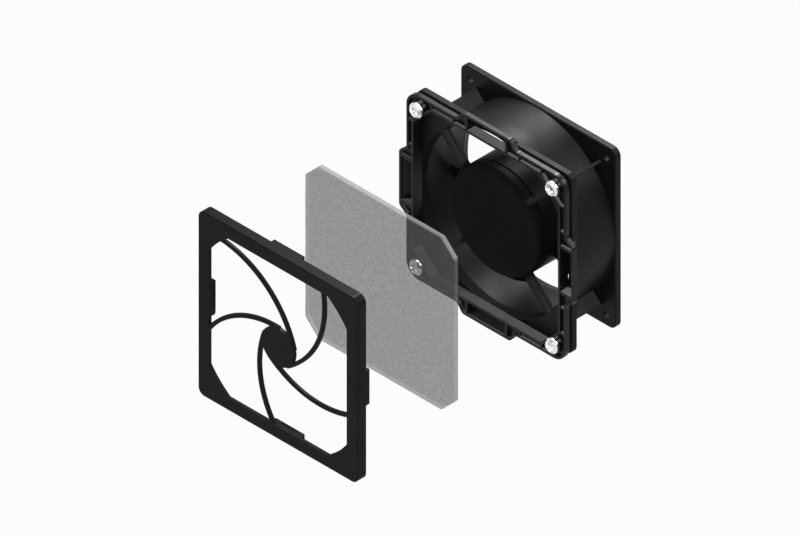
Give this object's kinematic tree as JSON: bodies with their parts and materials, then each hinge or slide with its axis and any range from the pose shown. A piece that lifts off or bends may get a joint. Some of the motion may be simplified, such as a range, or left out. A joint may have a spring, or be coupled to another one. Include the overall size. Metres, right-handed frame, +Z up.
{
  "type": "cabinet filter fan",
  "caption": "Square axial cabinet fan with a screwed-on retainer frame, a filter mat and a swirl guard cover that clips over the mat.",
  "frame": {"origin": "on the fan's axis, at the middle of the rear flange's mounting face", "axes": "+Y along the fan's axis, the way the air goes, out of the mounting face; +X to the right seen from the filter side; +Z up"},
  "size_m": [0.1346, 0.2053, 0.1346],
  "materials": {
    "housing": "black satin paint on cast aluminium",
    "housing_plastic": "black moulded plastic",
    "impeller_plastic": "black moulded plastic",
    "retainer_plastic": "black moulded plastic, satin",
    "cover_plastic": "charcoal moulded plastic, satin",
    "block_plastic": "black moulded plastic",
    "former": "natural moulded plastic",
    "mat": "grey non-woven filter mat, see-through",
    "brass": "machined",
    "bearing_steel": "ground",
    "lamination": "stacked sheet",
    "copper": "enamelled copper winding",
    "cage": "cast",
    "zinc": "bright zinc plate"
  },
  "bodies": {
    "fan": {"fan_housing": "housing", "motor_cap": "housing_plastic", "bearing_tube": "brass", "front_bearing_outer": "bearing_steel", "front_bearing_balls": "bearing_steel", "rear_bearing_outer": "bearing_steel", "rear_bearing_balls": "bearing_steel", "disc_spring": "bearing_steel", "bearing_spacer": "bearing_steel", "stator_core": "lamination", "coil_formers": "former", "stator_coils": "copper", "terminal_block": "block_plastic", "terminal_tabs": "brass", "retainer_frame": "retainer_plastic", "retainer_screws": "zinc", "retainer_nuts": "zinc"},
    "rotor": {"front_bearing_inner": "bearing_steel", "rear_bearing_inner": "bearing_steel", "shaft": "bearing_steel", "retaining_ring": "bearing_steel", "rotor_cup": "lamination", "rotor_bush": "brass", "rotor_core": "lamination", "rotor_cage": "cage", "impeller": "impeller_plastic"},
    "filter": {"filter_mat": "mat"},
    "cover": {"snap_cover": "cover_plastic"}
  },
  "joints": [
    {"name": "rotor_spin", "type": "hinge", "parent": "fan", "child": "rotor", "pos_m": [0, 0, 0], "axis": [0, 1, 0], "continuous": true},
    {"name": "filter_slide", "type": "slide", "parent": "fan", "child": "filter", "axis": [0, 1, 0], "range_m": [0, 0.0778]},
    {"name": "cover_slide", "type": "slide", "parent": "filter", "child": "cover", "axis": [0, 1, 0], "range_m": [0, 0.0765]}
  ]
}
